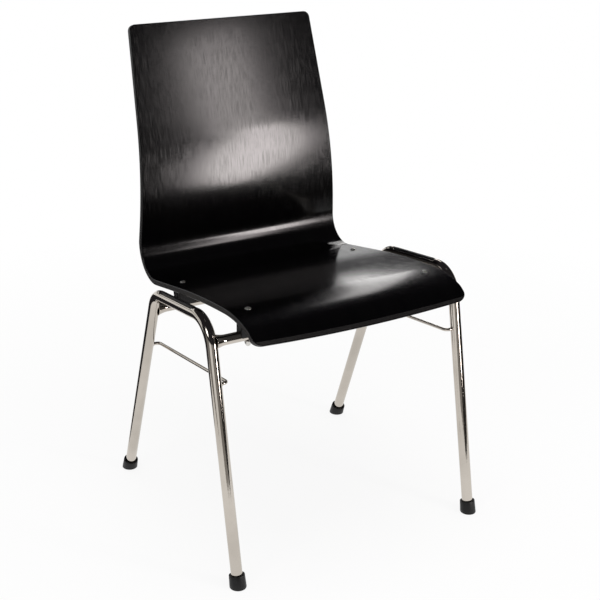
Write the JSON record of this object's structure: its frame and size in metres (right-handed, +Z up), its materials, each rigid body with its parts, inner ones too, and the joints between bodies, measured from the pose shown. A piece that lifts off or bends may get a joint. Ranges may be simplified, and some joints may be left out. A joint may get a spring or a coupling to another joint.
{
  "type": "choir chair",
  "caption": "Stacking choir chair: one-piece moulded black plywood seat and back on a chromed tube frame with side rods, stacking strips and plastic foot caps.",
  "frame": {"origin": "centre of the overall box at floor level", "axes": "+Z up, -Y the way the sitter faces, +X to the sitter's left"},
  "size_m": [0.5138, 0.5317, 0.8609],
  "materials": {
    "black_plywood": "black stain under satin gloss lacquer, fine vertical pores",
    "chromed_tube": "polished chrome",
    "black_plastic": "fine satin moulded plastic",
    "bright_fasteners": "zinc and chrome plated steel"
  },
  "bodies": {
    "root": {"seat_shell": "black_plywood", "right_side_frame": "chromed_tube", "left_side_frame": "chromed_tube", "front_crossbar": "chromed_tube", "rear_crossbar": "chromed_tube", "right_side_rod": "chromed_tube", "left_side_rod": "chromed_tube", "right_stacking_strip": "black_plastic", "left_stacking_strip": "black_plastic", "front_right_foot_cap": "black_plastic", "front_left_foot_cap": "black_plastic", "rear_right_foot_cap": "black_plastic", "rear_left_foot_cap": "black_plastic", "front_right_spacer": "black_plastic", "front_left_spacer": "black_plastic", "rear_right_spacer": "black_plastic", "rear_left_spacer": "black_plastic", "seat_screws": "bright_fasteners", "seat_washers": "bright_fasteners", "seat_nuts": "bright_fasteners"}
  },
  "joints": []
}
